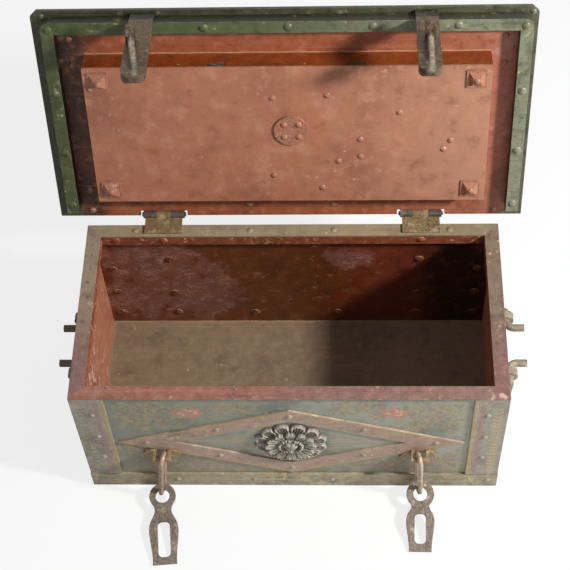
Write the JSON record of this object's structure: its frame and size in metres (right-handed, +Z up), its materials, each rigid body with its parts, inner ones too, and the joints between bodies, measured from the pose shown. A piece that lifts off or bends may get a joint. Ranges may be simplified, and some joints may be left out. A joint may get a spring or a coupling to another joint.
{
  "type": "armada chest",
  "caption": "Riveted iron strongbox with a lock in its hinged lid, drop handles and hasps on long links at the front.",
  "frame": {"origin": "centre of the underside of the chest body, on the floor plane", "axes": "+X to the right seen from the front, +Y to the back where the hinges are, +Z up"},
  "size_m": [0.7475, 0.593, 0.6881],
  "materials": {
    "painted_outside": "worn oil paint, matt",
    "painted_inside": "worn red oxide paint, matt",
    "painted_lid": "worn red oxide paint, matt",
    "painted_straps": "worn oil paint over forged iron",
    "painted_rim": "worn oil paint over forged iron",
    "painted_lip": "worn green paint, satin",
    "forged_iron": "dark forged iron, worn",
    "worn_iron": "rubbed forged iron",
    "cast_rosette": "cast iron with traces of paint"
  },
  "bodies": {
    "chest": {"body_front_sheet": "painted_outside", "body_back_sheet": "painted_outside", "body_left_sheet": "painted_outside", "body_right_sheet": "painted_outside", "body_floor_sheet": "painted_inside", "floor_straps": "forged_iron", "rim_front": "painted_rim", "rim_back": "painted_rim", "rim_left": "painted_rim", "rim_right": "painted_rim", "base_angle_front": "painted_straps", "base_angle_back": "painted_straps", "base_angle_left": "painted_straps", "base_angle_right": "painted_straps", "corner_angle_front_left": "painted_straps", "corner_angle_front_right": "painted_straps", "corner_angle_back_left": "painted_straps", "corner_angle_back_right": "painted_straps", "front_diamond_straps": "painted_straps", "back_straps": "painted_straps", "side_straps": "painted_straps", "rosette_plate": "cast_rosette", "rosette_boss": "cast_rosette", "bridge_staple_left": "forged_iron", "bridge_staple_right": "forged_iron", "hinge_leaf_left": "forged_iron", "hinge_leaf_right": "forged_iron", "hinge_pins": "forged_iron", "handle_staples": "forged_iron", "body_rivets": "painted_straps", "rim_rivets": "painted_rim"},
    "lid": {"lid_sheet": "painted_inside", "lid_border_straps": "painted_straps", "hinge_strap_left": "forged_iron", "hinge_strap_right": "forged_iron", "lid_lattice_straps": "painted_straps", "lip_front": "painted_lip", "lip_left": "painted_lip", "lip_right": "painted_lip", "hook_plate_left": "forged_iron", "hook_plate_right": "forged_iron", "lock_case_walls": "painted_lid", "lock_case_cover": "painted_lid", "case_corner_nuts": "painted_lid", "key_post_disc": "painted_lid", "key_post": "forged_iron", "bolt_guides": "forged_iron", "lock_spring": "forged_iron", "keyhole_escutcheon": "forged_iron", "lid_rivets": "painted_lid", "cover_rivets": "painted_lid"},
    "bolt_work": {"bolt_carriage": "forged_iron", "lock_bolts": "forged_iron"},
    "keyhole_cover": {"keyhole_cover": "forged_iron"},
    "handle_left": {"handle_left": "forged_iron"},
    "handle_right": {"handle_right": "forged_iron"},
    "link_left": {"link_left": "worn_iron"},
    "link_right": {"link_right": "worn_iron"},
    "hasp_left": {"hasp_left": "worn_iron"},
    "hasp_right": {"hasp_right": "worn_iron"}
  },
  "joints": [
    {"name": "lid_hinge", "type": "hinge", "parent": "chest", "child": "lid", "pos_m": [0, 0.18, 0.2882], "axis": [1, 0, 0], "range_deg": [0, 105.8]},
    {"name": "bolt_throw", "type": "slide", "parent": "lid", "child": "bolt_work", "axis": [0, 0.2723, 0.9622], "range_m": [0, 0.026]},
    {"name": "keyhole_cover_pivot", "type": "hinge", "parent": "lid", "child": "keyhole_cover", "pos_m": [0.005, 0.24338, 0.49163], "axis": [0, 0.9622, -0.2723], "range_deg": [-110, 110]},
    {"name": "handle_left_pivot", "type": "hinge", "parent": "chest", "child": "handle_left", "pos_m": [-0.345, 0, 0.175], "axis": [0, 1, 0], "range_deg": [0, 103]},
    {"name": "handle_right_pivot", "type": "hinge", "parent": "chest", "child": "handle_right", "pos_m": [0.345, 0, 0.175], "axis": [0, -1, 0], "range_deg": [0, 103]},
    {"name": "link_left_pivot", "type": "hinge", "parent": "chest", "child": "link_left", "pos_m": [-0.2028, -0.1762, 0.12], "axis": [-1, 0, 0], "range_deg": [0, 115]},
    {"name": "hasp_left_pivot", "type": "hinge", "parent": "link_left", "child": "hasp_left", "pos_m": [-0.21442, -0.1762, 0.022], "axis": [0.9959, 0.0906, 0], "range_deg": [-40, 60]},
    {"name": "link_right_pivot", "type": "hinge", "parent": "chest", "child": "link_right", "pos_m": [0.2006, -0.1762, 0.12], "axis": [-1, 0, 0], "range_deg": [0, 115]},
    {"name": "hasp_right_pivot", "type": "hinge", "parent": "link_right", "child": "hasp_right", "pos_m": [0.20581, -0.1762, 0.03543], "axis": [0.9998, -0.0175, 0], "range_deg": [-40, 60]}
  ]
}
